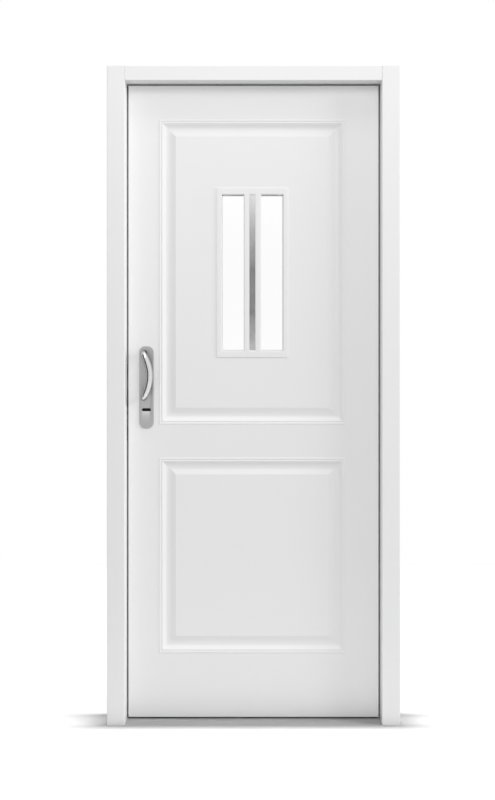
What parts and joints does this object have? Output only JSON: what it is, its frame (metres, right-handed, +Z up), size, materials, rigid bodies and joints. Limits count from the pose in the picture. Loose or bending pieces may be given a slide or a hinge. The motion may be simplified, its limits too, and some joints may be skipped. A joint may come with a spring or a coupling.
{
  "type": "sheet metal door",
  "caption": "Single-leaf sheet metal entrance door with pressed panels, a small glazed window, bow pulls and a stepped leaf that opens inward in a steel frame",
  "frame": {"origin": "on the wall face of the middle anchor in the hinge-side jamb, at the middle of the frame's depth and height", "axes": "+Z up; +X out of the hinge-side jamb into the wall, to the right as seen from outside; -Y faces outdoors, +Y into the building, the way the leaf opens"},
  "size_m": [0.912, 0.1505, 2.05],
  "materials": {
    "frame_paint": "smooth semi-gloss white powder coat on folded sheet",
    "leaf_paint": "smooth semi-gloss white powder coat on pressed sheet",
    "trim_paint": "smooth semi-gloss white window trim",
    "glazing": "clear flat glass",
    "spacer_metal": "matt mill finish",
    "strip_metal": "polished strip, lightly drawn along its length",
    "handle_metal": "fine satin, near to matt",
    "key_guide": "matt black",
    "lock_metal": "zinc plated, dull",
    "hinge_metal": "satin, plated",
    "seal_rubber": "soft black bulb profile",
    "anchor_metal": "galvanised",
    "filling": "light honeycomb filling"
  },
  "bodies": {
    "frame": {"jamb_hinge_side": "frame_paint", "jamb_lock_side": "frame_paint", "head": "frame_paint", "seal_hinge_side": "seal_rubber", "seal_lock_side": "seal_rubber", "seal_head": "seal_rubber", "strike_plate": "lock_metal", "anchors_hinge_side": "anchor_metal", "anchors_lock_side": "anchor_metal", "hinge_frame_halves": "hinge_metal"},
    "leaf": {"hinge_leaf_halves": "hinge_metal", "outer_skin": "leaf_paint", "inner_skin": "leaf_paint", "core": "filling", "window_trim_outer": "trim_paint", "window_trim_inner": "trim_paint", "glass_outer": "glazing", "glass_inner": "glazing", "glass_spacer": "spacer_metal", "mullion_strip_outer": "strip_metal", "mullion_strip_inner": "strip_metal", "handle_plate_outer": "handle_metal", "handle_plate_inner": "handle_metal", "bow_pull_outer": "handle_metal", "bow_pull_inner": "handle_metal", "key_guide_outer": "key_guide", "key_guide_inner": "key_guide", "lock_case": "lock_metal", "lock_faceplate": "lock_metal", "latch": "lock_metal", "dead_bolts": "lock_metal"}
  },
  "joints": [
    {"name": "leaf_hinge", "type": "hinge", "parent": "frame", "child": "leaf", "pos_m": [-0.0425, 0.059, 0], "axis": [0, 0, -1], "range_deg": [0, 110]}
  ]
}
